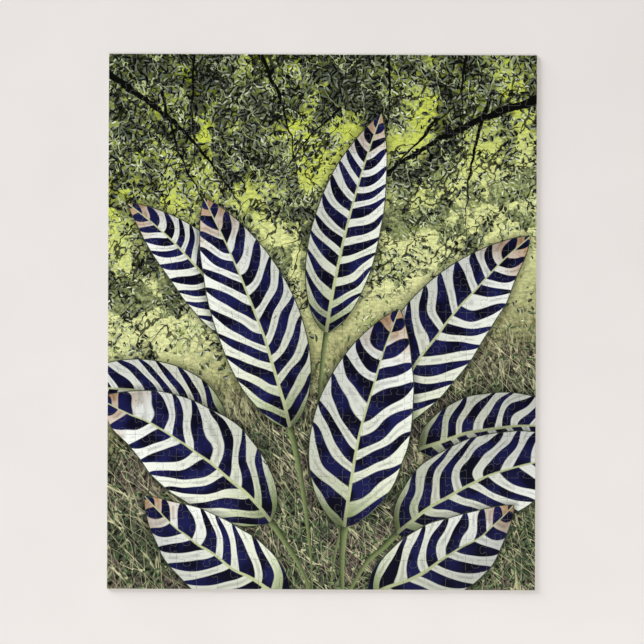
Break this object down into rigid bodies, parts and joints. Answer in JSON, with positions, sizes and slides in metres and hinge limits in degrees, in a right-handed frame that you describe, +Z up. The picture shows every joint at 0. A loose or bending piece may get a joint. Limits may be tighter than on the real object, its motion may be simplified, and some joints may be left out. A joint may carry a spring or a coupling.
{
  "type": "jigsaw puzzle",
  "caption": "Flat rectangular cardboard jigsaw puzzle, assembled from interlocking die-cut pieces, with a picture of striped leaves in a green thicket on its upper face.",
  "frame": {"origin": "middle of the underside, which lies on the table", "axes": "+X to the right of the picture, +Y towards the top of the picture, +Z up out of the picture"},
  "size_m": [0.4064, 0.508, 0.002],
  "materials": {
    "print_thicket": "satin print on grey board",
    "print_meadow": "satin print on grey board",
    "print_canopy": "satin print on grey board"
  },
  "bodies": {
    "root": {"corner_bottom_left": "print_thicket", "edge_bottom_1": "print_thicket", "edge_bottom_2": "print_thicket", "edge_bottom_3": "print_thicket", "corner_bottom_right": "print_thicket", "edge_left_1": "print_thicket", "inner_row_1_column_1": "print_thicket", "inner_row_1_column_2": "print_thicket", "inner_row_1_column_3": "print_thicket", "edge_right_1": "print_thicket", "edge_left_2": "print_meadow", "inner_row_2_column_1": "print_meadow", "inner_row_2_column_2": "print_meadow", "inner_row_2_column_3": "print_meadow", "edge_right_2": "print_meadow", "edge_left_3": "print_meadow", "inner_row_3_column_1": "print_meadow", "inner_row_3_column_2": "print_meadow", "inner_row_3_column_3": "print_meadow", "edge_right_3": "print_meadow", "edge_left_4": "print_canopy", "inner_row_4_column_1": "print_canopy", "inner_row_4_column_2": "print_canopy", "inner_row_4_column_3": "print_canopy", "edge_right_4": "print_canopy", "corner_top_left": "print_canopy", "edge_top_1": "print_canopy", "edge_top_2": "print_canopy", "edge_top_3": "print_canopy", "corner_top_right": "print_canopy"}
  },
  "joints": []
}
